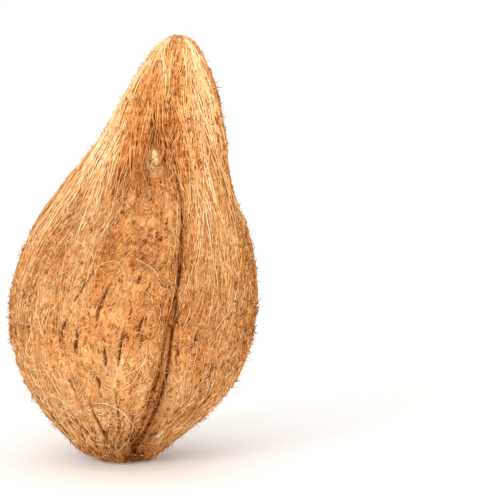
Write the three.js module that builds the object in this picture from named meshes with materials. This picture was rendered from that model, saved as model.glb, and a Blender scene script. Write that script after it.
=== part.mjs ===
// A mature coconut, partly husked: a round nut in a coat of matted fibre, which draws in above
// the nut to a leaning tuft. Three lobes meet in three grooves that run from the lower pole to
// the tip. It grew as one piece, so it is one solid.
//
// Millimetres, +Z up. The origin is the middle of the small flat spot that the fruit rests on.
// -Y is the front, and +X is the side that the tuft leans to. A lean is how far the middle of a
// section stands towards +X. A turn is the first groove's angle from the front, towards +X.

import * as THREE from "three";

// The flat spot at the lower pole
const FOOT_RADIUS = 11;

// The keel, just above the flat spot, where the underside bulges the other way
const KEEL_HEIGHT = 8;
const KEEL_LEAN = -1.4;

// The underside, partway up to the belly
const FLANK_RISE = 14; // above the keel
const FLANK_LEAN = 1.3;
const FLANK_TURN = 16; // the same down to the flat spot

// The belly, where the fruit is widest
const BELLY_HEIGHT = 71.5;
const BELLY_WIDTH = 110;
const BELLY_DEPTH = 107;
const BELLY_LEAN = 3.8;
const BELLY_TURN = 19.4;
const LOWER_FULLNESS = 2.4; // 1 makes the part below the belly a cone, and more makes it fuller

// The shoulder, over the top of the nut
const SHOULDER_RISE = 28.5; // above the belly
const SHOULDER_WIDTH = 98.5;
const SHOULDER_DEPTH = 95;
const SHOULDER_LEAN = 6.2;
const SHOULDER_TURN = 23.7;

// The collar, where the coat leaves the nut
const COLLAR_RISE = 22; // above the shoulder
const COLLAR_WIDTH = 75.5;
const COLLAR_DEPTH = 71;
const COLLAR_LEAN = 9.3;
const COLLAR_TURN = 26.2;

// The neck, halfway up the tuft
const NECK_RISE = 21; // above the collar
const NECK_WIDTH = 56;
const NECK_DEPTH = 52;
const NECK_LEAN = 17.1;
const NECK_TURN = 11;

// The crown, where the tuft starts to round over
const CROWN_RISE = 22; // above the neck
const CROWN_WIDTH = 40;
const CROWN_DEPTH = 37;
const CROWN_LEAN = 22;
const CROWN_TURN = -4;

// The tip
const TIP_RISE = 24.2; // above the crown
const TIP_LEAN = 25;
const TIP_TURN = -9;
const TIP_BLUNTNESS = 0.57; // 1 makes the end a cone, and 0.5 makes it round

// The lobes and the grooves between them, measured at the belly. They are smaller where the
// fruit is thinner.
const LOBES = 3;
const LOBE_RISE = 3; // from the foot of a lobe's side to its crest
const GROOVE_DEPTH = 3.2;
const GROOVE_WIDTH = 9;

// How finely the surface is divided
const SEGMENTS_PER_LOBE = 24;
const CROWDING = 0.65; // 0 spaces them evenly, and towards 1 they crowd into the grooves
const RING_SPACING = 4.6; // along the outline
const OUTLINE_STEP = 0.1;

const FLANK_HEIGHT = KEEL_HEIGHT + FLANK_RISE;
const SHOULDER_HEIGHT = BELLY_HEIGHT + SHOULDER_RISE;
const COLLAR_HEIGHT = SHOULDER_HEIGHT + COLLAR_RISE;
const NECK_HEIGHT = COLLAR_HEIGHT + NECK_RISE;
const CROWN_HEIGHT = NECK_HEIGHT + CROWN_RISE;
const HEIGHT = CROWN_HEIGHT + TIP_RISE;
const LOBE_ANGLE = (2 * Math.PI) / LOBES;

// Numbers that change smoothly with height. Each place is its height and its numbers there.
function smooth(places) {
  const heights = places.map((place) => place[0]);
  const numbers = places.map((place) => place.slice(1));
  return new THREE.CubicInterpolant(heights, numbers.flat(), numbers[0].length);
}

// The lean and the turn, all the way up.
const midline = smooth([
  [0, 0, FLANK_TURN],
  [KEEL_HEIGHT, KEEL_LEAN, FLANK_TURN],
  [FLANK_HEIGHT, FLANK_LEAN, FLANK_TURN],
  [BELLY_HEIGHT, BELLY_LEAN, BELLY_TURN],
  [SHOULDER_HEIGHT, SHOULDER_LEAN, SHOULDER_TURN],
  [COLLAR_HEIGHT, COLLAR_LEAN, COLLAR_TURN],
  [NECK_HEIGHT, NECK_LEAN, NECK_TURN],
  [CROWN_HEIGHT, CROWN_LEAN, CROWN_TURN],
  [HEIGHT, TIP_LEAN, TIP_TURN],
]);

// The width and the depth, from the belly to the crown.
const girth = smooth([
  [BELLY_HEIGHT, BELLY_WIDTH, BELLY_DEPTH],
  [SHOULDER_HEIGHT, SHOULDER_WIDTH, SHOULDER_DEPTH],
  [COLLAR_HEIGHT, COLLAR_WIDTH, COLLAR_DEPTH],
  [NECK_HEIGHT, NECK_WIDTH, NECK_DEPTH],
  [CROWN_HEIGHT, CROWN_WIDTH, CROWN_DEPTH],
]);
girth.settings = { endingStart: THREE.ZeroSlopeEnding, endingEnd: THREE.ZeroCurvatureEnding };

// Half the width and half the depth of the plain oval section at a height, before the lobes.
function halfSizes(height) {
  if (height < BELLY_HEIGHT) {
    const swell = 1 - (1 - height / BELLY_HEIGHT) ** LOWER_FULLNESS;
    return [BELLY_WIDTH, BELLY_DEPTH].map((size) => {
      return THREE.MathUtils.lerp(FOOT_RADIUS, size / 2, swell);
    });
  }
  if (height > CROWN_HEIGHT) {
    const left = ((HEIGHT - height) / TIP_RISE) ** TIP_BLUNTNESS;
    return [(CROWN_WIDTH / 2) * left, (CROWN_DEPTH / 2) * left];
  }
  const [width, depth] = girth.evaluate(height);
  return [width / 2, depth / 2];
}

// How far the surface stands out of the plain oval at the belly, at an angle from a groove's
// middle to the next one's. The mean of the lobes is nought, so they leave the width as it is.
function relief(angle) {
  const lobe = Math.sin((Math.PI * angle) / LOBE_ANGLE) - 2 / Math.PI;
  const across = (Math.min(angle, LOBE_ANGLE - angle) * BELLY_WIDTH) / 2;
  const groove = Math.exp(-Math.LN2 * ((2 * across) / GROOVE_WIDTH) ** 2);
  return LOBE_RISE * lobe - GROOVE_DEPTH * groove;
}

// The points of one section, anticlockwise as seen from above, from the first groove round.
function section(height) {
  const [lean, turn] = midline.evaluate(height);
  const [halfWidth, halfDepth] = halfSizes(height);
  const points = [];
  for (let lobe = 0; lobe < LOBES; lobe += 1) {
    for (let step = 0; step < SEGMENTS_PER_LOBE; step += 1) {
      const even = (2 * Math.PI * step) / SEGMENTS_PER_LOBE;
      const inLobe = ((even - CROWDING * Math.sin(even)) * LOBE_ANGLE) / (2 * Math.PI);
      const around = THREE.MathUtils.degToRad(turn) + lobe * LOBE_ANGLE + inLobe;
      const swell = 1 + relief(inLobe) / (BELLY_WIDTH / 2);
      const x = lean + swell * halfWidth * Math.sin(around);
      const y = -swell * halfDepth * Math.cos(around);
      points.push(new THREE.Vector3(x, y, height));
    }
  }
  return points;
}

// The heights of the sections, evenly spaced along the outline.
function sectionHeights() {
  const heights = [0];
  let last = new THREE.Vector2(halfSizes(0)[0], 0);
  for (let height = 0; height < HEIGHT - OUTLINE_STEP; height += OUTLINE_STEP) {
    const here = new THREE.Vector2(halfSizes(height)[0], height);
    if (here.distanceTo(last) >= RING_SPACING) {
      heights.push(height);
      last = here;
    }
  }
  return heights;
}

// The whole surface: the sections, closed by the flat spot below and by the tip above.
function huskGeometry() {
  const sections = sectionHeights().map(section);
  const around = LOBES * SEGMENTS_PER_LOBE;
  const foot = sections.length * around;
  const tip = foot + 1;
  const points = sections.flat();
  points.push(new THREE.Vector3(0, 0, 0), new THREE.Vector3(TIP_LEAN, 0, HEIGHT));

  const triangles = [];
  for (let column = 0; column < around; column += 1) {
    const next = (column + 1) % around;
    triangles.push(foot, next, column);
    for (let ring = 0; ring < sections.length - 1; ring += 1) {
      const lower = ring * around;
      const upper = lower + around;
      triangles.push(lower + column, lower + next, upper + next);
      triangles.push(lower + column, upper + next, upper + column);
    }
    const last = foot - around;
    triangles.push(last + column, last + next, tip);
  }

  const geometry = new THREE.BufferGeometry().setFromPoints(points);
  geometry.setIndex(triangles);
  geometry.computeVertexNormals();
  return geometry;
}

const huskFibre = new THREE.MeshStandardMaterial({
  color: 0xc98f55,
  roughness: 0.92,
  metalness: 0,
});

const coconut = new THREE.Mesh(huskGeometry(), huskFibre);
coconut.name = "coconut";

const fruit = new THREE.Group();
fruit.add(coconut);

export default fruit;
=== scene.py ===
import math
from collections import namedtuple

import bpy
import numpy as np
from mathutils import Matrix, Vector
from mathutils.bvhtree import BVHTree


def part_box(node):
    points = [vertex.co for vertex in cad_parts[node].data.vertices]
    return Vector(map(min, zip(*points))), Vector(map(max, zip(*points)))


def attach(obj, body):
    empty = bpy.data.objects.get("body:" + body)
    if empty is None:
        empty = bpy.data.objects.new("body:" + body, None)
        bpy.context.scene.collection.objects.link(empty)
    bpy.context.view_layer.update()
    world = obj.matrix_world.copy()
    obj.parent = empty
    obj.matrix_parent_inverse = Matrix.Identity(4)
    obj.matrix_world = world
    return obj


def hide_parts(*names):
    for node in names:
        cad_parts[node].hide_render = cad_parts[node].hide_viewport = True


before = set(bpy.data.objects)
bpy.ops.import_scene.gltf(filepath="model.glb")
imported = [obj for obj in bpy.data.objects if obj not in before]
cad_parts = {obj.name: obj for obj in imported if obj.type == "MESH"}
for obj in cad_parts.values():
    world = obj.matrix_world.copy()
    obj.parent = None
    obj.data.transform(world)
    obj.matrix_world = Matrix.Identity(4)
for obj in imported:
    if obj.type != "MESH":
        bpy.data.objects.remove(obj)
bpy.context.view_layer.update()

# A partly husked coconut: a skin of matted husk with the three grooves, the bundles and the
# splits in its mesh, and a coat of thin fibres that lie on it. Everything is worked out from the
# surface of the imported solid. Metres, +Z up, -Y is the front.
#
# A place on the coat is (along, round): metres up the surface from the edge of the flat spot,
# and the angle from the front line, growing towards +X. The front line runs up the fruit just
# left of the front groove. Each of the three lobes has such a line, and the groove on its right.

low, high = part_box("coconut")
MM = 0.001
TURN = 2 * math.pi
HEIGHT = high.z - low.z

# The skin's mesh
ROWS = 200
COLUMNS = 468
CAP_RINGS = 7
MAP_MARGIN = 0.004  # round the skin in its picture, as a share of it

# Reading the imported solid
READ_HEIGHTS = 240
READ_ANGLES = 360
READ_INSET = 0.25 * MM  # the lowest and the highest section are this far inside the solid
FAR = 1.0

LOBES = 3
LOBE = TURN / LOBES

# How far each groove is right of its line, in millimetres, at each share of the height
GROOVE_SHARES = (0.18, 0.30, 0.62, 0.78)
GROOVE_ASIDE = (0, 3.1, 3.1, 0.5)


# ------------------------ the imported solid's surface


def read_solid(node):
    """Heights, the middle's x at each, the groove's angle at each, and the radius at each
    height and angle. Angles are from -Y towards +X."""
    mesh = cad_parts[node].data
    corners = [v.co.copy() for v in mesh.vertices]
    tree = BVHTree.FromPolygons(corners, [list(p.vertices) for p in mesh.polygons])
    heights = np.linspace(low.z + READ_INSET, high.z - READ_INSET, READ_HEIGHTS)
    angles = np.arange(READ_ANGLES) * TURN / READ_ANGLES
    middles = np.empty(READ_HEIGHTS)
    radii = np.empty((READ_HEIGHTS, READ_ANGLES))
    for i, z in enumerate(heights):
        left = tree.ray_cast(Vector((-FAR, 0, z)), Vector((1, 0, 0)))[0].x
        right = tree.ray_cast(Vector((FAR, 0, z)), Vector((-1, 0, 0)))[0].x
        middles[i] = (left + right) / 2
        start = Vector((middles[i], 0, z))
        for j, angle in enumerate(angles):
            way = Vector((math.sin(angle), -math.cos(angle), 0))
            radii[i, j] = tree.ray_cast(start, way)[3]
    # The lobes repeat three times round, so the third harmonic's phase is where a groove is.
    third = -(radii * np.exp(-LOBES * 1j * angles)).mean(axis=1)
    grooves = -np.unwrap(np.angle(third)) / LOBES
    belly = radii.mean(axis=1).argmax()
    grooves -= np.round(grooves[belly] / LOBE) * LOBE
    return heights, middles, grooves, radii


def blurred(values, sigma, axis, wrap):
    """Values smoothed along one axis with a bell curve. Sigma is in cells."""
    reach = int(math.ceil(3 * sigma))
    kernel = np.exp(-0.5 * (np.arange(-reach, reach + 1) / sigma) ** 2)
    kernel /= kernel.sum()
    moved = np.moveaxis(values, axis, -1)
    pad = [(0, 0)] * (moved.ndim - 1) + [(reach, reach)]
    how = {"mode": "wrap"} if wrap else {"mode": "reflect", "reflect_type": "odd"}
    padded = np.pad(moved, pad, **how)
    smooth = sum(w * padded[..., i:i + moved.shape[-1]] for i, w in enumerate(kernel))
    return np.moveaxis(smooth, -1, axis)


def between(grid, row, column):
    """What a grid holds between its rows and its columns, which go all the way round, from the
    four corners of each place."""
    lower = np.clip(row.astype(int), 0, len(grid) - 2)
    left = column.astype(int)
    up, across = row - lower, column - left
    left = left % grid.shape[1]
    right = (left + 1) % grid.shape[1]
    if grid.ndim == 3:
        up, across = up[..., None], across[..., None]
    below = grid[lower, left] * (1 - across) + grid[lower, right] * across
    above = grid[lower + 1, left] * (1 - across) + grid[lower + 1, right] * across
    return below * (1 - up) + above * up


def unit(vectors):
    return vectors / np.maximum(np.linalg.norm(vectors, axis=-1, keepdims=True), 1e-12)


class Coat:
    """The husk's surface as a grid of rows up it and columns round it."""

    SMOOTH_ROWS = 2.2
    SMOOTH_COLUMNS = 2.0

    def __init__(self, node):
        heights, middles, grooves, radii = read_solid(node)
        mean = radii.mean(axis=1)
        steps = np.hypot(np.diff(heights), np.diff(mean))
        reach = np.concatenate([[0], np.cumsum(steps)])
        self.length = reach[-1]
        self.along = np.linspace(0, self.length, ROWS)
        self.round = np.arange(COLUMNS) * TURN / COLUMNS
        self.z = np.interp(self.along, reach, heights)
        middle = np.interp(self.z, heights, middles)
        self.aside = np.interp(self.z / HEIGHT, GROOVE_SHARES, GROOVE_ASIDE) * MM
        front = np.interp(self.z, heights, grooves) - self.aside / np.interp(self.z, heights, mean)
        turned = front[:, None] + self.round
        rows = np.interp(self.z, heights, np.arange(READ_HEIGHTS))
        radius = between(radii, rows[:, None], turned / TURN % 1 * READ_ANGLES)
        radius = blurred(radius, self.SMOOTH_ROWS, 0, wrap=False)
        radius = blurred(radius, self.SMOOTH_COLUMNS, 1, wrap=True)
        self.radius = radius.mean(axis=1)
        self.points = np.stack([
            middle[:, None] + radius * np.sin(turned),
            -radius * np.cos(turned),
            np.broadcast_to(self.z[:, None], radius.shape),
        ], axis=-1)
        up = np.gradient(self.points, axis=0)
        ahead = np.roll(self.points, -1, axis=1) - np.roll(self.points, 1, axis=1)
        self.normals = unit(np.cross(ahead, up))

    def at(self, grid, along, around):
        """What a grid holds at places on the coat."""
        row = np.clip(along / self.length, 0, 1) * (ROWS - 1)
        return between(grid, row, around / TURN % 1 * COLUMNS)

    def along_at(self, height):
        """How far up the coat a height is."""
        return np.interp(height, self.z, self.along)

    def radius_at(self, along):
        return np.interp(along, self.along, self.radius)


coat = Coat("coconut")


def wrapped(angle):
    """An angle as one from minus half a turn to half a turn."""
    return (angle + math.pi) % TURN - math.pi


def degrees(value):
    return value * math.pi / 180


# ------------------------ the skin's relief


def eased(places):
    """Places that change slowly near each whole number, so that noise has no corners."""
    share = places % 1
    return places - share + share * share * (3 - 2 * share)


def noise(random, cell_along, cells_round):
    """Smooth noise from 0 to 1 over the coat's grid. Cell_along is in metres."""
    cells = max(2, int(round(coat.length / cell_along)))
    lattice = random.random((cells + 2, cells_round))
    row = eased(np.linspace(0, cells, ROWS))
    column = eased(np.arange(COLUMNS) * cells_round / COLUMNS)
    return between(lattice, row[:, None], column)


def warped(grid, shift):
    """A grid read a little way round from each place. Shift is in radians."""
    along = np.broadcast_to(coat.along[:, None], shift.shape)
    return coat.at(grid, along, coat.round + shift)


def step(value, start, end):
    """0 before start, 1 after end, and smooth between them. Start may be above end."""
    t = np.clip((value - start) / (end - start), 0, 1)
    return t * t * (3 - 2 * t)


# How much of each kind of coat there is at each height, as shares of the height
TUFT_FROM, TUFT_TO = 0.58, 0.78
POLE_FROM, POLE_TO = 0.22, 0.05


def tuftness(height):
    return step(height / HEIGHT, TUFT_FROM, TUFT_TO)


def poleness(height):
    return step(height / HEIGHT, POLE_FROM, POLE_TO)


def within(value, start, end, soft):
    """1 from start to end, and 0 further than soft outside them."""
    return step(value, start - soft, start) * step(value, end + soft, end)


def in_lobe(angle):
    """An angle as one from the nearest of the three lines."""
    return (angle + LOBE / 2) % LOBE - LOBE / 2


# The parts of each lobe, in shares of the height and degrees from the lobe's line. A band of
# straight fibres runs along the crest, and in the tuft it swings round to the side.
CREST_SHARES = (0.38, 0.53, 0.67, 0.80)
CREST_TURNS = (-45, -48, -64, -72)
CREST_SPAN = (0.40, 0.90)
CREST_WIDTH = 7.5 * MM

# Another band runs right of the groove.
BESIDE_TURNS = (6, 36)
BESIDE_SPAN = (0.42, 0.84)

# The matted face reaches up the tuft's foot, left of the groove.
FACE_TURNS = (-38, -4)
FACE_TOP = (0.70, 0.665)

FRONT_TURN = 15  # degrees from the front of the fruit to the front line, near enough


def crestness(height, angle, radius):
    """1 in the middle of the band of straight fibres, and 0 away from it."""
    crest = degrees(np.interp(height / HEIGHT, CREST_SHARES, CREST_TURNS))
    across = in_lobe(angle - crest) * radius / CREST_WIDTH
    return np.exp(-across ** 2) * within(height / HEIGHT, *CREST_SPAN, 0.10)


def besideness(height, angle):
    """1 in the band of straight fibres right of each groove, and 0 away from it."""
    turn = np.degrees(in_lobe(angle))
    return within(turn, *BESIDE_TURNS, 10) * within(height / HEIGHT, *BESIDE_SPAN, 0.12)


def face_at(height, angle):
    """1 on the matted face that reaches up the tuft's foot, left of each groove."""
    turn = np.degrees(in_lobe(angle))
    return within(turn, *FACE_TURNS, 5) * step(height / HEIGHT, *FACE_TOP)


def combed_at(height, angle):
    """1 where the fibres are combed straight, and 0 where the coat is matted."""
    return tuftness(height) * (1 - face_at(height, angle))


def spot(height, turn, middle, size):
    """1 in the middle of a spot, and 0 away from it. The middle is its height and its turn, and
    the size is half its height and half its width, in millimetres and degrees."""
    up = (height - middle[0] * MM) / (size[0] * MM)
    across = (turn - middle[1]) / size[1]
    return np.exp(-up ** 2 - across ** 2)


def edgeness(angle, start, end):
    """1 at both sides of the fruit, between two angles in degrees from its front."""
    side = np.degrees(np.abs(wrapped(angle + degrees(FRONT_TURN))))
    return within(side, start, end, 9)


Split = namedtuple("Split", "middle turn length lean bend")


class Surface:
    """What the coat is like at each place of its grid."""

    SEED = 11
    SINK = 0.9 * MM  # how far the skin is inside the solid: the fibres fill the rest
    TUFT_SINK = 0.8 * MM  # and how much more under the tuft
    LUMP = 0.9 * MM
    BUNDLE = 1.0 * MM  # bundles in the tuft
    STRAND = 0.35 * MM  # bundles in the matted part
    FOLD = 1.5 * MM  # folds that run in to the pole
    MAT = 0.32 * MM
    HOLLOW = 0.6 * MM  # the dip at the front of the tuft
    FURROW_DEPTH = 1.7 * MM
    FURROW_WIDTH = 5 * MM
    RIM_DROP = 0.5 * MM  # how much the flat spot's edge is rounded
    RIM_WIDTH = 4 * MM
    CREASE_DEPTH = 1.9 * MM
    CREASE_WIDTH = 0.85 * MM
    CREASE_WANDER = 1.0 * MM
    CREASES_APART = 1.3 * MM  # from the middle to each of the two that it splits in low down
    CRACK_DEPTH = 0.9 * MM
    SPLIT_DEPTH = 0.85 * MM
    SPLIT_WIDTH = 0.6 * MM
    SPLIT_BEND = 0.8 * MM
    # How strong the crease is at each share of the height
    CREASE_SHARES = (0, 0.06, 0.20, 0.36, 0.45, 0.58, 0.66, 0.76, 1)
    CREASE_STRENGTH = (0.40, 0.75, 0.95, 0.90, 0.95, 0.95, 0.50, 0.28, 0.1)
    # Splits at the front: height, degrees from the front line, length, and the top's lean
    FRONT_SPLITS = (
        (84, -44, 16, 3), (65, -50, 13, 1), (78, -33, 21, 1), (61, -42, 15, 0), (59, -21, 21, 1),
        (68, -13, 13, 0), (55, -28, 11, 0), (44, -33, 10, -1), (88, -18, 5, 0), (42, -48, 8, -1),
        (63, -11, 5, 0), (61, 16, 10, 1), (56, 8, 8, 0), (26, -23, 34, -1), (20, -36, 36, -4),
        (16, -13, 28, -1), (19, -50, 28, -6), (30, 34, 22, 3), (45, 28, 12, 1), (20, 14, 28, 2),
    )
    MORE_SPLITS = 90

    def __init__(self):
        random = np.random.default_rng(self.SEED)
        height = coat.z[:, None] * np.ones(COLUMNS)
        share = height / HEIGHT
        radius = coat.radius[:, None]
        turn = np.degrees(in_lobe(coat.round + 0 * height))
        front = np.degrees(wrapped(coat.round + 0 * height))
        tuft, pole = combed_at(height, coat.round), poleness(height)
        striped = np.clip(tuft + 0.8 * pole, 0, 1)
        self.matted = 1 - tuft
        ragged = 5 * (noise(random, 4 * MM, 90) - 0.5)
        torn = height + ragged * MM
        self.scar = np.maximum(
            spot(torn, front + 2 * ragged, (139, -16), (4.6, 9)),
            0.85 * spot(torn, front + 2 * ragged, (134.5, -18), (3.6, 14)))
        self.crust = spot(height, front + ragged, (140, -16), (2.4, 5))
        self.crust = self.crust + 0.8 * spot(height, front + ragged, (135, -22), (1.7, 5))
        self.face = face_at(height, coat.round)

        wander = noise(random, 22 * MM, 14) - 0.5
        wander = degrees(9) * wander + degrees(2.5) * (noise(random, 7 * MM, 60) - 0.5)
        lumps = noise(random, 24 * MM, 12) + 0.5 * noise(random, 12 * MM, 26) - 0.75
        wide = warped(noise(random, 46 * MM, 74), wander)
        fine = warped(noise(random, 26 * MM, 168), wander)
        self.bundles = 0.6 * wide + 0.4 * fine - 0.5
        folds = warped(noise(random, 60 * MM, 34), 0.7 * wander) - 0.5
        gaps = 1 - np.minimum(np.abs(wide - 0.5) / 0.09, 1)
        gaps = gaps * step(noise(random, 11 * MM, 90), 0.40, 0.62)
        cracks = 1 - np.minimum(np.abs(warped(noise(random, 34 * MM, 52), wander) - 0.5) / 0.11, 1)
        cracks = cracks * step(noise(random, 9 * MM, 40), 0.30, 0.55) * step(share, 0.24, 0.14)
        mat = noise(random, 2.6 * MM, 190) + noise(random, 5 * MM, 90) - 1
        hollow = np.exp(-((turn + 10) / 16) ** 2 - ((share - 0.785) / 0.07) ** 2)
        across = np.radians(turn) * radius - coat.aside[:, None]
        furrow = np.exp(-(across / self.FURROW_WIDTH) ** 2)
        # Seam: the middle of the furrow higher up, only used for painted shade in the tone
        seam = furrow ** 2 * within(share, 0.36, 0.63, 0.05)
        furrow = furrow * step(share, 0.40, 0.22)

        crease = self.cut = self.creases(random, radius)
        splits = self.splits(random, radius)
        # Open: the creases, splits, cracks and gaps. The skin's material paints shade in them.
        self.open = np.clip(
            crease + 0.75 * splits + 0.5 * cracks + gaps * (0.12 + 0.6 * striped), 0, 1)
        self.height = (
            self.LUMP * lumps * (1 - 0.6 * tuft)
            + (self.STRAND + (self.BUNDLE - self.STRAND) * striped) * self.bundles
            + self.FOLD * folds * pole
            - self.BUNDLE * gaps * (0.15 + 0.85 * striped)
            + self.MAT * mat * self.matted
            - self.HOLLOW * hollow
            - self.FURROW_DEPTH * furrow
            - self.CRACK_DEPTH * cracks
            - self.CREASE_DEPTH * crease
            - self.SPLIT_DEPTH * splits
        )
        self.height *= step(coat.along, coat.length, coat.length - 6 * MM)[:, None]
        at_ends = np.maximum(0.6 * step(share, 0.92, 1.0), step(share, 0.07, 0.01))
        self.height -= (self.SINK + self.TUFT_SINK * tuft) * (1 - at_ends)
        rim = np.clip(1 - coat.along / self.RIM_WIDTH, 0, 1) ** 2
        self.height -= self.RIM_DROP * rim[:, None]

        self.tone = self.toned(random, height, share, radius, turn, front, furrow, seam)

    @staticmethod
    def toned(random, height, share, radius, turn, front, furrow, seam):
        """How much paler or darker than usual the husk is: mostly its own colour, with painted
        shade in the lower furrow, along the seams, in the dip at the front of the tuft and in a
        band at both sides of the fruit, and a paler left side that is partly painted light.
        """
        blotches = noise(random, 30 * MM, 11) + 0.6 * noise(random, 11 * MM, 30) - 0.8
        terms = (
            (0.13, crestness(height, coat.round, radius)),
            (0.05, besideness(height, coat.round)),
            (-0.04, within(turn, *FACE_TURNS, 6) * within(share, 0.49, 0.67, 0.04)),
            # painted shade in the dip at the front of the tuft
            (-0.16, within(turn, -42, 8, 14) * within(share, 0.71, 0.88, 0.07)),
            (-0.10, within(front, 50, 62, 16) * within(share, 0.42, 0.62, 0.10)),
            # painted shade in the lower furrow and along the seam above it
            (-0.20, furrow),
            (-0.12, seam),
            (-0.04, within(share, 0.30, 0.48, 0.10)),
            (0.09, within(share, 0.05, 0.27, 0.06)),
            (0.12, step(share, 0.90, 0.97)),
            (-0.16, step(share, 0.07, 0.015)),
        )
        placed = sum(weight * where for weight, where in terms)
        uneven = 0.55 + 0.45 * step(np.abs(wrapped(coat.round)), degrees(100), degrees(60))
        # Paler on the left and darker on the right: partly the husk's own bleaching, partly painted
        # light on the side that the key lamp lights. The edge term is painted shade in a band at
        # both sides of the fruit.
        edge = edgeness(coat.round, 82, 110) * within(share, 0.04, 0.66, 0.05)
        side_tint_and_edge_shade = -0.04 * np.sin(coat.round + degrees(FRONT_TURN)) - 0.15 * edge
        stain = spot(height, front, (95, -22), (3.2, 4.5))
        return placed * uneven + side_tint_and_edge_shade + 0.15 * blotches - 0.16 * stain

    def wobble(self, random, cell):
        """Smooth noise up the coat, the same all round."""
        return noise(random, cell, 2)[:, :1]

    def creases(self, random, radius):
        """1 in the bottom of the three seams. Each is ragged, and splits in two low down."""
        self.seams = []  # for each: its lobe's line, and how far beside that it is at each row
        crease = np.zeros((ROWS, COLUMNS))
        share = coat.z[:, None] / HEIGHT
        strength = np.interp(share, self.CREASE_SHARES, self.CREASE_STRENGTH)
        for lobe in range(LOBES):
            middle = coat.aside[:, None] - self.CREASE_WANDER * (self.wobble(random, 16 * MM) - 0.5)
            across = wrapped(coat.round - lobe * LOBE) * radius - middle
            apart = self.CREASES_APART * within(share, 0.10, 0.36, 0.08)
            for side in (-1, 1):
                self.seams.append((lobe * LOBE, (middle + side * apart)[:, 0]))
                width = self.CREASE_WIDTH * (0.6 + 0.7 * self.wobble(random, 8 * MM))
                depth = 0.6 + 0.4 * step(self.wobble(random, 9 * MM), 0.2, 0.6)
                depth = np.maximum(depth, within(share, 0.46, 0.60, 0.05))
                line = np.exp(-((across - side * apart) / width) ** 2)
                crease = np.maximum(crease, strength * depth * line)
        return crease

    def splits(self, random, radius):
        """1 in the middle of the short splits along the fibres."""
        places = [(h * MM, degrees(turn), size * MM, lean * MM)
                  for h, turn, size, lean in self.FRONT_SPLITS]
        for _ in range(self.MORE_SPLITS):
            h = random.uniform(0.05, 0.50) * HEIGHT
            turn = random.uniform(0, TURN)
            size = random.uniform(5, 18) * MM
            if abs(wrapped(turn + degrees(10))) > degrees(55):
                places.append((h, turn, size, random.uniform(-2, 2) * MM))
        self.split_lines = []
        split = np.zeros((ROWS, COLUMNS))
        for h, turn, size, lean in places:
            up = (coat.along[:, None] - coat.along_at(h)) / (size / 2)
            bend = random.uniform(-1, 1) * self.SPLIT_BEND
            line = Split(coat.along_at(h), turn, size, lean, bend)
            self.split_lines.append(line)
            across = wrapped(coat.round - turn) * radius - self.beside(up, line)
            depth = np.clip(1 - up ** 4, 0, 1)
            width = self.SPLIT_WIDTH * (0.6 + 0.4 * step(h / HEIGHT, 0.16, 0.26))
            opening = np.exp(-(across / (width * (0.4 + depth))) ** 2) * depth
            split = np.maximum(split, opening)
        return split

    @staticmethod
    def beside(up, line):
        """How far a split bends from straight up, at shares of its half length."""
        return line.lean * up - line.bend * (up ** 2 + np.sin(4 * up) / 2)


surface = Surface()
skin_points = coat.points + surface.height[..., None] * coat.normals
skin_points[..., 2] = np.maximum(skin_points[..., 2], low.z)


# ------------------------ making meshes


def new_mesh(name, points, quads, triangles):
    """A mesh object from arrays of its points and its faces' corners."""
    corners = np.append(quads, triangles)
    starts = np.append(np.arange(len(quads)) * 4, quads.size + np.arange(len(triangles)) * 3)
    mesh = bpy.data.meshes.new(name)
    mesh.vertices.add(len(points))
    mesh.vertices.foreach_set("co", np.ascontiguousarray(points, np.float32).ravel())
    mesh.loops.add(len(corners))
    mesh.polygons.add(len(starts))
    mesh.polygons.foreach_set("loop_start", starts.astype(np.int32))
    mesh.loops.foreach_set("vertex_index", corners.astype(np.int32))
    mesh.update(calc_edges=True)
    mesh.validate()
    mesh.shade_smooth()
    piece = bpy.data.objects.new(name, mesh)
    bpy.context.scene.collection.objects.link(piece)
    return piece


def point_values(piece, name, values):
    """A named number or vector at each of a mesh's points, which its material reads."""
    kind, key = ("FLOAT_VECTOR", "vector") if values.ndim == 2 else ("FLOAT", "value")
    attribute = piece.data.attributes.new(name, kind, "POINT")
    attribute.data.foreach_set(key, np.ascontiguousarray(values, np.float32).ravel())


def picture_map(piece, corner_places):
    """The map that a picture of the material is laid out by."""
    layer = piece.data.uv_layers.new(name="OFBake")
    layer.data.foreach_set("uv", np.ascontiguousarray(corner_places, np.float32).ravel())


def finish_piece(piece, material):
    piece.data.materials.append(material)
    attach(piece, "root")


# ------------------------ materials


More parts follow.
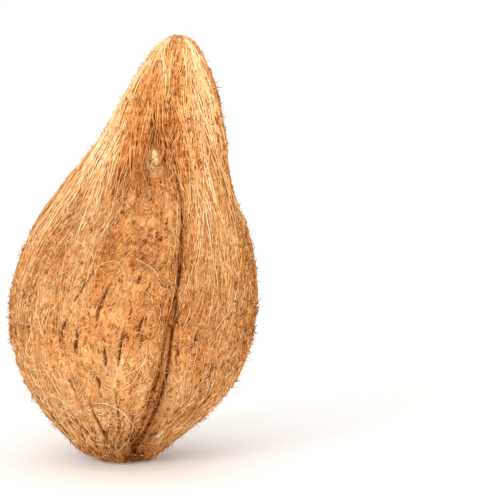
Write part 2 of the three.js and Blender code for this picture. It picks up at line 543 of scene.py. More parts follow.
class Nodes:
    """A short way to write a material's nodes."""

    SHINE = 0.05  # dry husk hardly shines

    def __init__(self, name):
        self.material = bpy.data.materials.new(name)
        self.material.use_nodes = True
        self.tree = self.material.node_tree
        self.shader = self.tree.nodes["Principled BSDF"]
        self.shader.inputs["Specular IOR Level"].default_value = self.SHINE

    def add(self, kind, inputs=None, **settings):
        """A new node. An input is a number, a colour or another node's output."""
        node = self.tree.nodes.new(kind)
        for key, value in settings.items():
            setattr(node, key, value)
        for key, value in (inputs or {}).items():
            if isinstance(value, bpy.types.NodeSocket):
                self.tree.links.new(value, node.inputs[key])
            else:
                node.inputs[key].default_value = value
        return node

    def attribute(self, name, output="Fac"):
        return self.add("ShaderNodeAttribute", attribute_name=name).outputs[output]

    def scaled(self, vector, scale):
        node = self.add("ShaderNodeMapping", {"Vector": vector, "Scale": scale})
        return node.outputs["Vector"]

    def noise(self, vector, scale, detail=2.0, rough=0.5):
        inputs = {"Vector": vector, "Scale": scale, "Detail": detail, "Roughness": rough}
        return self.add("ShaderNodeTexNoise", inputs).outputs["Fac"]

    def math(self, operation, first, second):
        node = self.add("ShaderNodeMath", {0: first, 1: second}, operation=operation)
        return node.outputs[0]

    def spread(self, value, low_in, high_in, low_out=0.0, high_out=1.0):
        inputs = {
            "Value": value, "From Min": low_in, "From Max": high_in,
            "To Min": low_out, "To Max": high_out,
        }
        return self.add("ShaderNodeMapRange", inputs).outputs["Result"]

    def ramp(self, value, stops):
        node = self.add("ShaderNodeValToRGB", {"Fac": value})
        ramp = node.color_ramp
        for i, (place, colour) in enumerate(stops):
            stop = ramp.elements[i] if i < 2 else ramp.elements.new(place)
            stop.position = place
            stop.color = (*colour, 1)
        return node.outputs["Color"]

    def mix(self, share, first, second, how="MIX"):
        inputs = {0: share, 6: first, 7: second}
        node = self.add("ShaderNodeMix", inputs, data_type="RGBA", blend_type=how)
        return node.outputs[2]

    def times(self, first, second):
        return self.math("MULTIPLY", first, second)

    def total(self, first, *others):
        for other in others:
            first = self.math("ADD", first, other)
        return first

    def bump(self, height, distance, strength):
        inputs = {"Height": height, "Distance": distance, "Strength": strength}
        return self.add("ShaderNodeBump", inputs).outputs["Normal"]

    def plug(self, socket, value):
        self.tree.links.new(value, self.shader.inputs[socket])


# The husk's colours, from painted shade at the bottom of a gap, and the darkest specks and
# painted shade in the seams, to a bleached fibre
GAP_SHADE = (0.095, 0.026, 0.007)
SPECK_AND_SHADE_BROWN = (0.070, 0.019, 0.005)
UMBER = (0.23, 0.068, 0.014)
RUSSET = (0.46, 0.169, 0.039)
TAN = (0.64, 0.320, 0.116)
STRAW = (0.79, 0.525, 0.265)
CREAM = (0.88, 0.700, 0.450)
SCAR_PALE = (0.76, 0.52, 0.27)
SCAR_DARK = (0.42, 0.215, 0.075)

MATTED_SHADE = 0.45  # the skin's usual shade, before its patterns, where it is matted
COMBED_SHADE = 0.44  # and under the tuft


def skin_material():
    """The husk under the fibres: a corky mat below, streaked along the fibres in the tuft, with
    painted shade where it is open, between its bundles and in its pits. Its patterns are read
    round and up the coat, in metres."""
    nodes = Nodes("husk_skin")
    flow = nodes.attribute("flow", "Vector")
    opened = nodes.attribute("open")
    matted = nodes.attribute("matted")

    def drawn_out(length, *pattern):
        """Noise in patches that run up the coat. Less is longer."""
        return nodes.noise(nodes.scaled(flow, (1.0, 1.0, length)), *pattern)

    streaks = drawn_out(0.10, 1500, 3.0, 0.6)
    hairs = drawn_out(0.16, 3600, 2.0, 0.6)
    blotches = nodes.noise(flow, 80, 3.0, 0.55)
    cork = drawn_out(0.6, 1150, 3.0, 0.65)
    pits = nodes.spread(drawn_out(0.38, 620, 2.0, 0.5), 0.58, 0.66)

    # The corky and streaked patterns are paler where their bump rises and darker where it dips:
    # partly the husk's uneven colour, partly painted light and shade on its fine relief. The pits
    # are painted shade.
    mat = nodes.total(
        nodes.spread(cork, 0.3, 0.7, -0.17, 0.15),
        nodes.spread(blotches, 0.3, 0.7, -0.10, 0.10),
        nodes.times(pits, -0.24))
    combed = nodes.total(
        nodes.spread(streaks, 0.3, 0.7, -0.20, 0.20),
        nodes.spread(hairs, 0.3, 0.7, -0.12, 0.12))
    rest = nodes.math("SUBTRACT", 1.0, nodes.times(matted, 0.7))
    shade = nodes.total(
        nodes.attribute("tone"),
        # painted shade: paler on the bundles' tops and darker in the dips between them
        nodes.times(nodes.attribute("bundles"), 0.35),
        nodes.spread(matted, 0.0, 1.0, COMBED_SHADE, MATTED_SHADE),
        nodes.times(mat, matted),
        nodes.times(combed, rest))
    stops = [(0.0, SPECK_AND_SHADE_BROWN), (1.0, CREAM), (0.10, UMBER), (0.27, RUSSET), (0.54, TAN), (0.80, STRAW)]
    colour = nodes.ramp(shade, stops)

    grain = nodes.times(nodes.noise(flow, 420, 4.0, 0.7), 0.9)
    grain = nodes.total(grain, nodes.times(nodes.attribute("crust"), 0.35))
    crust = nodes.ramp(grain, [(0.42, SCAR_DARK), (0.76, SCAR_PALE)])
    colour = nodes.mix(nodes.spread(nodes.attribute("scar"), 0.25, 0.6), colour, crust)
    # painted shade in the creases, splits, cracks and gaps
    colour = nodes.mix(nodes.spread(opened, 0.08, 0.75), colour, (*GAP_SHADE, 1))
    nodes.plug("Base Color", colour)
    nodes.plug("Roughness", nodes.spread(cork, 0.3, 0.7, 0.62, 0.92))
    fine = nodes.times(nodes.total(nodes.times(hairs, 0.5), streaks), rest)
    rough = nodes.total(nodes.times(cork, 1.3), nodes.times(pits, -0.6))
    height = nodes.total(fine, nodes.times(rough, matted))
    nodes.plug("Normal", nodes.bump(height, 0.55 * MM, 0.9))
    return nodes.material


def fibre_material():
    """A dry fibre: the shade that it is given, which holds painted shade, paler and darker in
    turns, with a faint shine.
    """
    nodes = Nodes("husk_fibre")
    place = nodes.add("ShaderNodeTexCoord").outputs["Object"]
    turns = nodes.noise(place, 420, 2.0)
    specks = nodes.noise(place, 2200, 2.0)
    warmth = nodes.noise(place, 90, 2.0)
    tone = nodes.total(
        nodes.attribute("shade"),
        nodes.spread(turns, 0.3, 0.7, -0.13, 0.13),
        nodes.spread(specks, 0.3, 0.7, -0.07, 0.07))
    stops = [(0.0, SPECK_AND_SHADE_BROWN), (1.0, CREAM), (0.10, UMBER), (0.25, RUSSET), (0.52, TAN), (0.78, STRAW)]
    colour = nodes.ramp(tone, stops)
    warm = nodes.mix(1.0, colour, (1.0, 0.92, 0.83, 1), "MULTIPLY")
    colour = nodes.mix(nodes.spread(warmth, 0.38, 0.62), colour, warm)
    nodes.plug("Base Color", colour)
    nodes.plug("Roughness", nodes.spread(specks, 0.3, 0.7, 0.55, 0.78))
    nodes.plug("Normal", nodes.bump(specks, 0.05 * MM, 0.6))
    return nodes.material


# ------------------------ the skin


def make_skin():
    """One closed surface: the coat's grid with its relief, the flat spot, and the tip."""
    sides = skin_points.reshape(-1, 3)
    shares = np.arange(CAP_RINGS - 1, 0, -1) / CAP_RINGS
    foot = skin_points[0].copy()
    foot[:, 2] = low.z
    centre = foot.mean(axis=0)
    rings = centre + shares[:, None, None] * (foot - centre)
    cap = rings.reshape(-1, 3)
    tip = skin_points[-1].mean(axis=0)
    tip[2] = skin_points[-1, :, 2].max()
    points = np.concatenate([sides, cap, centre[None], tip[None]])

    columns = np.arange(COLUMNS)
    ahead = (columns + 1) % COLUMNS
    side_rows = np.arange(ROWS - 1)[:, None] * COLUMNS
    side_quads = np.stack([
        side_rows + columns, side_rows + ahead,
        side_rows + COLUMNS + ahead, side_rows + COLUMNS + columns,
    ], axis=-1).reshape(-1, 4)
    ring_starts = [0] + [ROWS * COLUMNS + i * COLUMNS for i in range(CAP_RINGS - 1)]
    cap_quads = [np.stack([inner + columns, inner + ahead, outer + ahead, outer + columns], axis=-1)
                 for outer, inner in zip(ring_starts[:-1], ring_starts[1:])]
    quads = np.concatenate([side_quads, *cap_quads])
    last_ring, last_row = ring_starts[-1], (ROWS - 1) * COLUMNS
    foot_centre, tip_point = len(points) - 2, len(points) - 1
    fans = np.concatenate([
        np.stack([last_ring + ahead, last_ring + columns, np.full(COLUMNS, foot_centre)], axis=-1),
        np.stack([last_row + columns, last_row + ahead, np.full(COLUMNS, tip_point)], axis=-1),
    ])
    piece = new_mesh("husk_skin", points, quads, fans)

    rim = coat.radius[0]
    reach = np.concatenate([coat.along, (shares - 1) * rim])
    wide = coat.radius.max()
    spin, up = np.meshgrid(coat.round, reach)
    flow = np.stack([wide * np.cos(spin), wide * np.sin(spin), up], axis=-1).reshape(-1, 3)
    flow = np.concatenate([flow, [[0, 0, -rim], [0, 0, coat.length]]])
    point_values(piece, "flow", flow)
    # The caps get a little of the painted gap shade and a slightly darker tone.
    in_caps = {"open": 0.2, "bundles": 0.0, "tone": -0.1, "matted": 1.0, "scar": 0.0, "crust": 0.0}
    for name, value in in_caps.items():
        grid = getattr(surface, name).ravel()
        point_values(piece, name, np.append(grid, np.full(len(points) - len(sides), value)))

    # Round the fruit is across the picture, and up it is up the picture.
    across = np.concatenate([np.tile([0, 1, 1, 0], len(quads)), np.tile([0, 1, 0.5], len(fans))])
    column = np.concatenate([
        np.tile(np.repeat(columns, 4), ROWS - 1 + CAP_RINGS - 1),
        np.repeat(np.tile(columns, 2), 3)])
    level = ((flow[:, 2] + rim) / (coat.length + rim))[np.append(quads, fans)]
    places = np.stack([(column + across) / COLUMNS, level], axis=-1)
    picture_map(piece, MAP_MARGIN + (1 - 2 * MAP_MARGIN) * places)
    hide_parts("coconut")
    finish_piece(piece, skin_material())


# ------------------------ the fibres

SIDES = 3
FLOOR_GAP = 0.15 * MM
ROOT_DEPTH = 0.12 * MM  # how far in the skin the ends of a lying fibre are
TUFT_DEPTH = 1.3  # millimetres that the tuft's strands stand above the skin
POINT = 0.35  # how thick the end of a standing fibre is, as a share of its start
CELL_MARGIN = 0.1  # round a fibre in its cell of the picture, as a share of the cell
FIBRE = fibre_material()


class Fibres:
    """Where a family of fibres runs: how far along and round each ring of each fibre is."""

    CLEAR, BLOCKED = 0.15, 0.45  # how open the skin is where all fibres stay, and where none do
    SEAM_WEIGHT = 0.45

    def __init__(self, random, along, around, length, heading, curl, kink, rings=8):
        """Heading is from straight up the coat towards more round, in radians. Curl is how much
        the heading turns from end to end, and kink is how unevenly it does so."""
        self.count, self.rings = len(along), rings
        self.random = random
        self.share = np.linspace(0, 1, rings)
        pace = length / (rings - 1)
        ways = heading if np.ndim(heading) == 2 else heading[:, None]
        ways = ways + np.outer(curl * np.ones(self.count), self.share - 0.5)
        ways = ways + kink * np.cumsum(random.normal(0, 1, (self.count, rings)), axis=1)
        self.along = np.empty((self.count, rings))
        self.round = np.empty((self.count, rings))
        here, turn = along.copy(), around.copy()
        for i in range(rings):
            self.along[:, i], self.round[:, i] = here, turn
            tight = np.maximum(coat.radius_at(here), 3 * MM)
            here = here + np.cos(ways[:, i]) * pace
            turn = turn + np.sin(ways[:, i]) * pace / tight
        self.along = np.clip(self.along, 0, coat.length)

    def kept(self, *others, clear_of=0, scar_weight=0.9):
        """Only the fibres that don't lie along a gap, cross a seam or lie on what they are
        clear of, and what goes with them."""
        opened = coat.at(surface.open, self.along, self.round).mean(axis=1)
        scarred = coat.at(surface.scar, self.along, self.round).max(axis=1)
        cut = coat.at(surface.cut, self.along, self.round).max(axis=1)
        blocked = np.maximum.reduce([opened, scar_weight * scarred, self.SEAM_WEIGHT * cut])
        if np.ndim(clear_of):
            blocked = np.maximum(blocked, coat.at(clear_of, self.along, self.round).mean(axis=1))
        keep = self.random.random(self.count) > step(blocked, self.CLEAR, self.BLOCKED)
        self.along, self.round = self.along[keep], self.round[keep]
        self.count = int(keep.sum())
        return [values[keep] for values in others]

    def over_tuft(self):
        """How far each ring has to be raised to come out of the tuft's strands."""
        return TUFT_DEPTH * tuftness(np.interp(self.along, coat.along, coat.z))

    def drawn(self, least, most):
        """A number for each fibre, at random between two."""
        return self.random.uniform(least, most, self.count)

    def shades(self, middle, unevenness, lift=0.0, depth=0.0, weight=1.0):
        """One shade for each ring. Fibres that lie deeper are darker, as painted shade, and the
        skin's tone shows, with the painted shade that it holds.
        """
        shade = self.random.normal(middle, unevenness, self.count) + depth * (lift - np.mean(lift))
        tone = coat.at(surface.tone, self.along, self.round)
        return shade[:, None] + weight * tone

    def lay(self, name, lift, thickness, shade, thin_end=0.3):
        """Fibres that come out of the skin, run above it and go back in, thin at both ends. Lift
        and thickness are in millimetres, one for each fibre."""
        hump = np.sin(math.pi * self.share)
        radius = thickness[:, None] * MM / 2 * (thin_end + (1 - thin_end) * hump ** 0.5)
        self.make(name, lift[:, None] * MM * hump ** 0.6 - ROOT_DEPTH, radius, shade)

    def stand(self, name, lift, thickness, shade):
        """Fibres that end in a point away from the coat, with a lift for each ring."""
        radius = thickness[:, None] * MM / 2 * (1 - (1 - POINT) * self.share)
        self.make(name, lift * MM, radius, shade)

    def make(self, name, lift, radius, shade):
        """Each fibre as a thin closed tube of three sides. Lift is how far each ring is above
        the skin, and shade is one number for each ring."""
        skin = coat.at(skin_points, self.along, self.round)
        out = unit(coat.at(coat.normals, self.along, self.round))
        centres = skin + (lift + radius)[..., None] * out
        centres[..., 2] = np.maximum(centres[..., 2], low.z + FLOOR_GAP + radius)
        way = unit(np.gradient(centres, axis=1))
        out = unit(out - (out * way).sum(axis=-1, keepdims=True) * way)
        sideways = np.cross(way, out)
        turns = np.arange(SIDES) * TURN / SIDES
        spread = np.cos(turns)[:, None] * out[:, :, None]
        spread = spread + np.sin(turns)[:, None] * sideways[:, :, None]
        points = (centres[:, :, None] + radius[:, :, None, None] * spread).reshape(-1, 3)

        side = np.arange(SIDES)
        ahead = (side + 1) % SIDES
        ring = np.arange(self.rings - 1)[:, None] * SIDES
        above = ring + SIDES
        one = np.stack([ring + side, ring + ahead, above + ahead, above + side], axis=-1)
        first = np.arange(self.count) * self.rings * SIDES
        quads = (first[:, None, None] + one.reshape(1, -1, 4)).reshape(-1, 4)
        top = (self.rings - 1) * SIDES
        ends = np.array([[0, 2, 1], [top, top + 1, top + 2]])
        caps = (first[:, None, None] + ends).reshape(-1, 3)
        piece = new_mesh(name, points, quads, caps)
        shade = np.clip(shade, 0.02, 0.98) * np.ones((self.count, self.rings))
        point_values(piece, "shade", np.repeat(shade.ravel(), SIDES))
        self.lay_out(piece)
        finish_piece(piece, FIBRE)

    def lay_out(self, piece):
        """Each fibre has a cell of its own in the picture, and runs up it."""
        across = int(math.ceil(math.sqrt(self.count)))
        cell = 1 / across
        fibre = np.arange(self.count)
        origin = np.stack([fibre % across, fibre // across], axis=-1) * cell
        shape = (self.rings - 1, SIDES, 4)
        wide = np.broadcast_to(np.array([0, 1, 1, 0]) / SIDES, shape)
        wide = wide + (np.arange(SIDES) / SIDES)[:, None]
        tall = np.arange(self.rings - 1)[:, None, None] + np.array([0, 0, 1, 1])
        tall = np.broadcast_to(tall / (self.rings - 1), shape)
        in_quads = np.stack([wide, tall], axis=-1).reshape(-1, 2)
        in_caps = np.array([[0, 0], [0.1, 0], [0, 0.1], [0, 1], [0.1, 1], [0, 0.9]])
        picture_map(piece, np.concatenate([
            (origin[:, None] + cell * (CELL_MARGIN + (1 - 2 * CELL_MARGIN) * inside)).reshape(-1, 2)
            for inside in (in_quads, in_caps)]))


def random_places(random, count, lowest, highest):
    """Places spread evenly over the coat between two shares of the height."""
    rows = (coat.z >= lowest * HEIGHT) & (coat.z <= highest * HEIGHT)
    weight = np.cumsum(coat.radius[rows])
    along = np.interp(random.random(count) * weight[-1], weight, coat.along[rows])
    return along, random.random(count) * TURN


def chosen_places(random, count, lowest, highest, wanted):
    """Places that are likelier where more fibres are wanted. Wanted takes a height and an angle."""
    along, around = random_places(random, 3 * count, lowest, highest)
    want = wanted(np.interp(along, coat.along, coat.z), around)
    keep = np.argsort(random.random(3 * count) / want)[:count]
    return along[keep], around[keep]


def grown(random, places, length, heading, curl, kink, rings=8, aim=0.0):
    """Fibres from some places. Length is the least and the most, in millimetres. Heading and
    curl are how much they vary, and kink is how unevenly each fibre bends, in degrees."""
    count = len(places[0])
    length = random.uniform(*length, count) * MM
    heading = aim + random.normal(0, degrees(heading), count)
    curl = random.normal(0, degrees(curl), count)
    return Fibres(random, *places, length, heading, curl, degrees(kink), rings)


FULL = 1.001  # a little over 1, so that fibres are never quite unwanted anywhere


def tuft_fibres(random):
    """Long straight fibres, combed in bundles from the shoulder to the tip."""
    bundles, each, rings = 560, 7, 8
    count = bundles * each

    def wanted(height, angle):
        low_down = 0.3 + crestness(height, angle, coat.radius.mean())
        low_down = low_down * step(height / HEIGHT, 0.52, 0.63) + besideness(height, angle)
        over_face = within(np.degrees(in_lobe(angle)), *FACE_TURNS, 5)
        over_face = over_face * within(height / HEIGHT, 0.735, 0.78, 0.01)
        here = np.where(height < 0.66 * HEIGHT, low_down, 1 + 5 * over_face)
        return here * (FULL - face_at(height, angle))

    along, around = chosen_places(random, bundles, 0.50, 0.93, wanted)
    along = np.repeat(along, each) + random.normal(0, 6 * MM, count)
    width = 0.6 * MM / np.maximum(coat.radius_at(along), 6 * MM)
    around = np.repeat(around, each) + random.normal(0, 1, count) * width
    length = np.minimum(random.uniform(18, 70, count) * MM, coat.length - along)
    length = np.maximum(length, 8 * MM)
    sway = random.normal(0, degrees(9), (bundles, rings))
    sway = sway + random.normal(0, degrees(6), (bundles, 1))
    heading = np.repeat(sway, each, axis=0) + random.normal(0, degrees(3), (count, 1))
    curl = random.normal(0, degrees(9), count)
    family = Fibres(random, along, around, length, heading, curl, degrees(1.6), rings)
    thickness = family.drawn(0.36, 0.95) * (0.7 + 0.3 * step(along / coat.length, 0.55, 0.70))
    lift = np.repeat(random.uniform(0, 1.6, bundles), each) + family.drawn(0, 0.4)
    own = np.repeat(random.normal(0, 0.08, bundles), each)
    thickness, lift, own = family.kept(
        thickness, lift, own, clear_of=surface.face, scar_weight=0.55)
    shade = family.shades(0.48, 0.08, lift, 0.20) + own[:, None]
    family.lay("tuft_fibres", lift, thickness, shade)


def tuft_hairs(random):
    """Thin pale fibres that cross the tuft's bundles."""
    places = random_places(random, 800, 0.52, 0.96)
    family = grown(random, places, length=(8, 30), heading=11, curl=30, kink=4)
    thickness, lift = family.drawn(0.18, 0.34), family.drawn(0.9, 2.0)
    thickness, lift = family.kept(thickness, lift, clear_of=0.6 * surface.face)
    family.lay("tuft_hairs", lift, thickness, family.shades(0.58, 0.12, weight=0.8))


def band_fibres(random):
    """Long straight fibres down the body, along the crests and right of the grooves."""

    def wanted(height, angle):
        crest = crestness(height, angle, np.interp(height, coat.z, coat.radius))
        crest = crest * (0.15 + 0.85 * step(height / HEIGHT, 0.52, 0.64))
        low_down = 0.12 * poleness(height)
        return 0.02 + crest + 0.75 * besideness(height, angle) + low_down

    places = chosen_places(random, 3900, 0.01, 0.66, wanted)
    family = grown(random, places, length=(12, 42), heading=7, curl=22, kink=4)
    thickness, lift = family.drawn(0.24, 0.50), family.drawn(0.02, 0.9)
    thickness, lift = family.kept(thickness, lift, clear_of=0.6 * surface.face)
    family.lay("band_fibres", lift, thickness, family.shades(0.47, 0.12, lift, 0.18))


def felt_fibres(random, number):
    """Short curly fibres that lie every way on the matted body. On the face they are finer."""
    count = 6000

    def fineness(height, angle):
        return face_at(height, angle) * step(height / HEIGHT, 0.36, 0.50)

    def wanted(height, angle):
        want = FULL - 0.7 * poleness(height) - 0.5 * combed_at(height, angle)
        return want + 1.2 * fineness(height, angle)

    along, around = chosen_places(random, count, 0.01, 0.71, wanted)
    height = np.interp(along, coat.along, coat.z)
    pole, face = poleness(height), fineness(height, around)
    length = random.uniform(2, 7, count) * MM * (1 - 0.4 * face)
    heading = random.normal(0, degrees(42), count) * (1 - 0.6 * pole)
    curl = random.normal(0, degrees(95), count) * (1 - 0.5 * pole)
    family = Fibres(random, along, around, length, heading, curl, degrees(14), rings=6)
    thickness = family.drawn(0.18, 0.42) * (1 - 0.2 * face)
    lift = family.drawn(0, 1) ** 1.3
    thickness, lift = family.kept(thickness, lift, scar_weight=0.35)
    family.lay(f"felt_fibres_{number}", lift, thickness, family.shades(0.60, 0.11, lift, 0.20))


def tuft_hollow(height, angle, lowest):
    """1 in the hollow left of each groove, from a share of the height up to the tip."""
    inside = within(np.degrees(in_lobe(angle)), -60, 14, 15)
    return inside * within(height / HEIGHT, lowest, 0.94, 0.05)


def dark_flecks(random):
    """Short dark slivers: dark specks in the mat, and painted shade between the tuft's strands,
    most of it in the dip at the front of the tuft.
    """
    patches = 0.25 + 1.5 * noise(random, 13 * MM, 24) ** 2

    def wanted(height, angle):
        # more of them in the dip at the front of the tuft, as painted shade
        want = 0.08 + 0.92 * (1 - tuftness(height)) + 0.4 * tuft_hollow(height, angle, 0.70)
        return want * coat.at(patches, coat.along_at(height), angle)

    count = 5600
    along, around = chosen_places(random, count, 0.02, 0.95, wanted)
    tuft = tuftness(np.interp(along, coat.along, coat.z))
    length = random.uniform(0.8, 2.8, count) * (1 + 2.8 * tuft) * MM
    heading = random.normal(0, degrees(22), count) * (1 - 0.75 * tuft)
    curl = random.normal(0, degrees(30), count)
    family = Fibres(random, along, around, length, heading, curl, degrees(4), rings=4)
    thickness, lift = family.drawn(0.24, 0.64), family.drawn(0.35, 0.8) + 0.9 * tuft
    thickness, lift = family.kept(thickness, lift)
    family.lay("dark_flecks", lift, thickness, family.drawn(0.09, 0.37)[:, None])


def tuft_gap_shade(random):
    """Dark slivers laid on the tuft where it opens between its strands: painted shade in the gaps,
    most of it in the dip at the front of the tuft.
    """

    def wanted(height, angle):
        want = 0.3 + 0.9 * tuft_hollow(height, angle, 0.72)
        return want * (FULL - face_at(height, angle))

    places = chosen_places(random, 620, 0.62, 0.95, wanted)
    family = grown(random, places, length=(3, 9), heading=7, curl=14, kink=3, rings=6)
    thickness, lift = family.drawn(0.35, 0.9), family.drawn(0.8, 1.9)
    thickness, lift = family.kept(thickness, lift)
    family.lay("tuft_gap_shade", lift, thickness, family.drawn(0.16, 0.34)[:, None], thin_end=0.15)


class Threads(Fibres):
    """Fibres that follow lines that are already worked out."""

    def __init__(self, random, along, around):
        self.random, self.along, self.round = random, along, around
        self.count, self.rings = along.shape
        self.share = np.linspace(0, 1, self.rings)


def seam_shade_threads(random):
    """Dark threads in the seams, in the splits and in the folds that run in to the pole: partly
    the dark fibre that lies there and partly painted shade in these hollows.
    """
    steps = np.linspace(0, 1, 10)
    along, around = [], []

    def lay(path, turn, beside, spread):
        beside = beside + random.normal(0, spread)
        along.append(path)
        around.append(turn + beside / coat.radius_at(path))

    for turn, beside in surface.seams:
        for _ in range(44):
            path = random.uniform(0.02, 0.56) * coat.length + random.uniform(8, 26) * MM * steps
            lay(path, turn, np.interp(path, coat.along, beside), 0.28 * MM)
    for line in surface.split_lines:
        for _ in range(3):
            up = random.uniform(-1, -0.4) + random.uniform(0.9, 1.5) * steps
            path = line.middle + up * line.length / 2
            lay(path, line.turn, surface.beside(up, line), 0.2 * MM)
    for _ in range(170):
        path = random.uniform(1, 18) * MM + random.uniform(7, 26) * MM * steps
        bend = random.uniform(-1, 1) * MM * np.sin(random.uniform(2, 7) * steps)
        lay(path, random.uniform(0, TURN), bend, 0)
    family = Threads(random, np.array(along), np.array(around))
    thickness, lift = family.drawn(0.26, 0.60), family.drawn(0.35, 0.9)
    family.lay("seam_shade_threads", lift, thickness, family.drawn(0, 0.20)[:, None])


def clumps(random):
    """Small clumps of dark hair that stand away from the coat, most of them at the sides."""
    bunches, each = 420, 6
    count = bunches * each

    def wanted(height, angle):
        return 0.3 + edgeness(angle, 76, 110)

    along, around = chosen_places(random, bunches, 0.03, 0.97, wanted)
    along = np.repeat(along, each) + random.normal(0, 0.9 * MM, count)
    around = np.repeat(around, each) + random.normal(0, 0.9 * MM, count) / coat.radius_at(along)
    length = random.uniform(1.6, 5.0, count) * MM
    heading = np.repeat(random.normal(0, degrees(40), bunches), each)
    heading = heading + random.normal(0, degrees(22), count)
    curl = random.normal(0, degrees(45), count)
    family = Fibres(random, along, around, length, heading, curl, degrees(8), rings=6)
    thickness = family.drawn(0.18, 0.36)
    reach = np.repeat(0.8 + random.random(bunches) ** 1.5 * 2.6, each) * family.drawn(0.5, 1)
    thickness, reach = family.kept(thickness, reach)
    lift = reach[:, None] * family.share ** family.drawn(0.8, 1.8)[:, None] + 0.4
    family.stand("clumps", lift + family.over_tuft(), thickness, family.shades(0.34, 0.13))


def stray_fibres(random):
    """Long pale fibres that wander over the body on top of the rest."""
    places = random_places(random, 45, 0.08, 0.72)
    family = grown(random, places, length=(10, 34), heading=24, curl=60, kink=15, rings=14)
    thickness, lift = family.drawn(0.24, 0.40), family.drawn(0.8, 1.7)
    family.lay("stray_fibres", lift, thickness, family.shades(0.82, 0.08, weight=0.4))


def tip_fibres(random):
    """Ends of fibres that stand up round the tip and close it."""
    count = 620
    along = coat.length - random.uniform(2, 24, count) * MM
    around = random.random(count) * TURN
    length = (coat.length - along) * random.uniform(0.7, 1.15, count)
    heading, curl = random.normal(0, degrees(6), count), random.normal(0, degrees(14), count)
    family = Fibres(random, along, around, length, heading, curl, degrees(2))
    thickness, reach = family.drawn(0.26, 0.55), family.drawn(0, 1) ** 2.2
    lift = 1.5 * reach[:, None] * family.share ** 2 + 0.5 * np.sin(math.pi * family.share)
    family.stand("tip_fibres", lift, thickness, family.shades(0.54, 0.14))


def pole_fibres(random):
    """Rough fibres round the lower pole. They run in to the flat spot and hide its edge."""
    places = random_places(random, 1200, 0.0, 0.11)
    family = grown(
        random, places, length=(3, 13), heading=16, curl=35, kink=8, rings=6, aim=math.pi)
    thickness, reach = family.drawn(0.25, 0.6), family.drawn(0, 1) ** 2
    thickness, reach = family.kept(thickness, reach)
    lift = 2.6 * reach[:, None] * family.share ** 1.5 + 0.1
    family.stand("pole_fibres", lift, thickness, family.shades(0.46, 0.13))


def stubble(random):
    """Short ends that stand away from the coat all over it, every way."""
    patches = 0.15 + 1.6 * noise(random, 12 * MM, 30) ** 2

    def wanted(height, angle):
        return (0.5 + edgeness(angle, 72, 115)) * coat.at(patches, coat.along_at(height), angle)

    count = 5200
    along, around = chosen_places(random, count, 0.02, 0.99, wanted)
    length = random.uniform(1.2, 5, count) * MM
    heading, curl = random.uniform(0, TURN, count), random.normal(0, degrees(70), count)
    family = Fibres(random, along, around, length, heading, curl, degrees(14), rings=5)
    thickness, reach = family.drawn(0.22, 0.46), 0.4 + random.random(count) ** 1.8 * 2.6
    lift = reach[:, None] * family.share ** family.drawn(0.8, 2)[:, None]
    family.stand("stubble", lift + family.over_tuft(), thickness, family.shades(0.32, 0.17))


def loose_fibres(random):
    """Longer curly ends that stand away from the coat."""
    places = random_places(random, 480, 0.03, 0.97)
    family = grown(random, places, length=(4, 13), heading=45, curl=110, kink=16)
    thickness, reach = family.drawn(0.20, 0.36), 1.0 + random.random(family.count) ** 1.6 * 5.6
    lift = reach[:, None] * family.share ** family.drawn(1, 2.2)[:, None]
    family.stand("loose_fibres", lift + family.over_tuft(), thickness, family.shades(0.44, 0.20))


# ------------------------ the floor, lights and camera

FLOOR_SIZE = 6.0
FLOOR_COLOUR = (0.92, 0.895, 0.865, 1)
WORLD_STRENGTH = 1.06

KEY_FROM = (-1.25, -1.25, 0.8)
KEY_STRENGTH = 1.65
KEY_ANGLE = 25  # degrees across, which softens its shadows
KEY_COLOUR = (1.0, 0.98, 0.95)
FILL_FROM = (0.5, -1.6, 0.20)
FILL_SIZE = 0.8
FILL_POWER = 24

CAMERA_DISTANCE = 1.0
CAMERA_DROP = 7  # degrees that the camera looks down
FRAME_WIDTH = 0.2226  # how much the camera sees across at the fruit
AIM_RIGHT = 0.0565  # the middle of the view, from the middle of the flat spot
AIM_UP = 0.094


def place_in_scene(name, data, location, aim=None):
    """An object that looks at a point, or level if there is none."""
    thing = bpy.data.objects.new(name, data)
    thing.location = location
    if aim:
        way = Vector(aim) - Vector(location)
        thing.rotation_euler = way.to_track_quat("-Z", "Y").to_euler()
    bpy.context.scene.collection.objects.link(thing)
    return thing


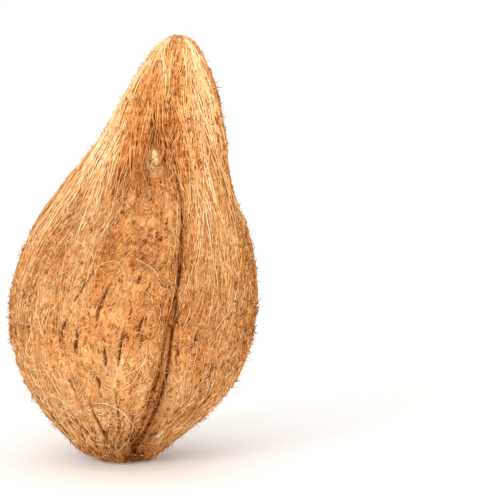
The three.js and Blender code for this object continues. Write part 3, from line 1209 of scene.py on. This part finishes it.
def make_floor():
    half = FLOOR_SIZE / 2
    corners = [(-half, -half, 0), (half, -half, 0), (half, half, 0), (-half, half, 0)]
    mesh = bpy.data.meshes.new("floor")
    mesh.from_pydata(corners, [], [(0, 1, 2, 3)])
    material = bpy.data.materials.new("pale_floor")
    material.use_nodes = True
    shader = material.node_tree.nodes["Principled BSDF"]
    shader.inputs["Base Color"].default_value = FLOOR_COLOUR
    shader.inputs["Roughness"].default_value = 0.9
    mesh.materials.append(material)
    floor = place_in_scene("floor", mesh, (0, 0, low.z))


def make_lights():
    """An even white room, a wide sun from the left, and a low lamp in front."""
    world = bpy.data.worlds.new("studio")
    world.use_nodes = True
    background = world.node_tree.nodes["Background"]
    background.inputs["Color"].default_value = (1, 1, 1, 1)
    background.inputs["Strength"].default_value = WORLD_STRENGTH
    bpy.context.scene.world = world

    key = bpy.data.lights.new("key", "SUN")
    key.angle = degrees(KEY_ANGLE)
    key.energy = KEY_STRENGTH
    key.color = KEY_COLOUR
    place_in_scene("key", key, KEY_FROM, (0, 0, 0.4 * HEIGHT))

    fill = bpy.data.lights.new("fill", "AREA")
    fill.shape = "SQUARE"
    fill.size = FILL_SIZE
    fill.energy = FILL_POWER
    place_in_scene("fill", fill, FILL_FROM, (0, 0, 0.12 * HEIGHT))


def make_camera():
    data = bpy.data.cameras.new("camera")
    data.lens = data.sensor_width * CAMERA_DISTANCE / FRAME_WIDTH
    drop = degrees(CAMERA_DROP)
    aim = (AIM_RIGHT, 0, low.z + AIM_UP)
    back, up = CAMERA_DISTANCE * math.cos(drop), CAMERA_DISTANCE * math.sin(drop)
    bpy.context.scene.camera = place_in_scene("camera", data, (0, -back, aim[2] + up), aim)


make_camera()
make_floor()
make_lights()
bpy.context.scene.view_settings.view_transform = "Standard"

make_skin()
seeded = np.random.default_rng
tuft_fibres(seeded(21))
tuft_hairs(seeded(22))
band_fibres(seeded(31))
for number in (1, 2, 3):
    felt_fibres(seeded(41 + number), number)
dark_flecks(seeded(81))
tuft_gap_shade(seeded(83))
seam_shade_threads(seeded(95))
clumps(seeded(53))
stray_fibres(seeded(61))
tip_fibres(seeded(71))
pole_fibres(seeded(91))
stubble(seeded(51))
loose_fibres(seeded(52))
